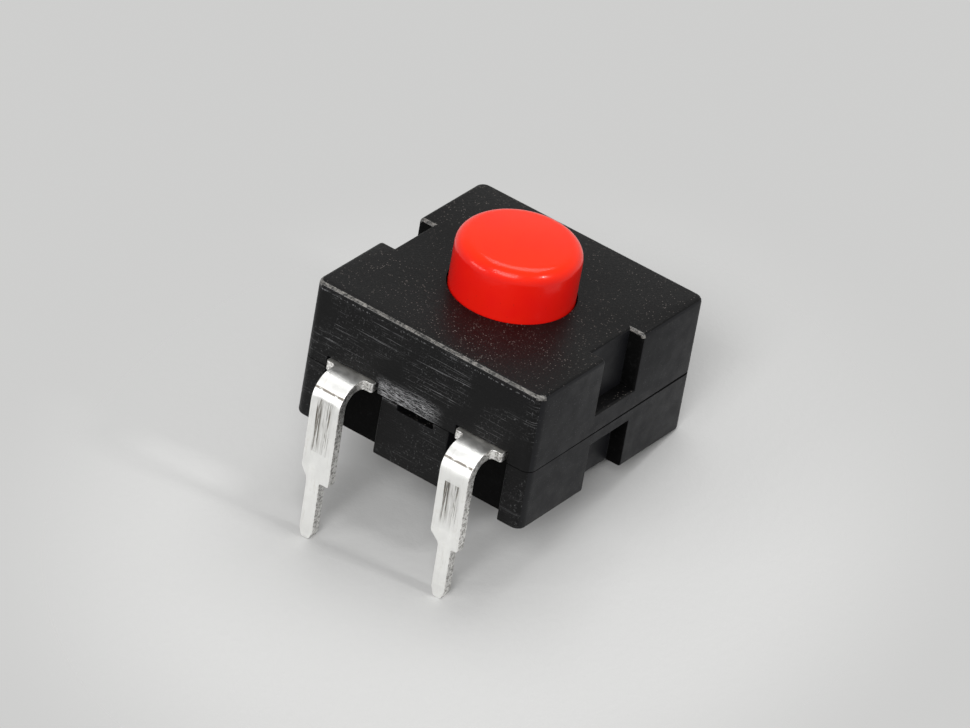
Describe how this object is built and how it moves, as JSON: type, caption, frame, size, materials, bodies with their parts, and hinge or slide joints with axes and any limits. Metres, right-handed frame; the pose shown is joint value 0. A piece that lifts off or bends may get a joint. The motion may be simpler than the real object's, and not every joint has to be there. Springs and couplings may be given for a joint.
{
  "type": "power push button switch",
  "caption": "Latching push button power switch: square black two-part housing, round red button, and two bent sheet-metal legs that both leave one side.",
  "frame": {"origin": "centre of the housing's underside, which sits on the circuit board", "axes": "+Z along the button's axis, out of the board; -Y towards the side that both legs leave; +X to the right seen from that side"},
  "size_m": [0.012, 0.0137, 0.014],
  "materials": {
    "housing_black": "fine sparkle texture, scuffed near the parting line",
    "button_red": "glossy moulded",
    "terminal_tin": "bright tin plating over sheared strip",
    "contact_silver": "satin silver",
    "bridge_bronze": "rolled phosphor bronze",
    "spring_steel": "drawn wire",
    "rotor_natural": "natural acetal",
    "plunger_grey": "natural acetal, grey"
  },
  "bodies": {
    "housing": {"cover": "housing_black", "base": "housing_black", "terminal_left": "terminal_tin", "terminal_right": "terminal_tin", "fixed_contact_left": "contact_silver", "fixed_contact_right": "contact_silver", "return_spring": "spring_steel"},
    "button": {"button": "button_red"},
    "plunger": {"plunger": "plunger_grey", "contact_spring": "spring_steel"},
    "rotor": {"rotor": "rotor_natural"},
    "bridge": {"contact_bridge": "bridge_bronze", "moving_contact_left": "contact_silver", "moving_contact_right": "contact_silver"}
  },
  "joints": [
    {"name": "button_press", "type": "slide", "parent": "housing", "child": "button", "axis": [0, 0, -1], "range_m": [0, 0.0014], "stiffness_N_per_m": 800, "springref_m": -0.0012},
    {"name": "plunger_slide", "type": "slide", "parent": "housing", "child": "plunger", "axis": [0, 0, -1], "range_m": [0, 0.0014], "deforming": ["return_spring"]},
    {"name": "rotor_turn", "type": "hinge", "parent": "plunger", "child": "rotor", "pos_m": [0, 0, 0.0044], "axis": [0, 0, 1], "range_deg": [0, 22.5]},
    {"name": "bridge_slide", "type": "slide", "parent": "plunger", "child": "bridge", "axis": [0, 0, 1], "range_m": [0, 0.00062], "deforming": ["contact_spring"]}
  ],
  "couplings": [
    {"joint": "plunger_slide", "follows": "button_press", "ratio": 1},
    {"joint": "rotor_turn", "follows": "button_press", "rad_per_m": 280.49},
    {"joint": "bridge_slide", "follows": "button_press", "ratio": 0.44286}
  ]
}
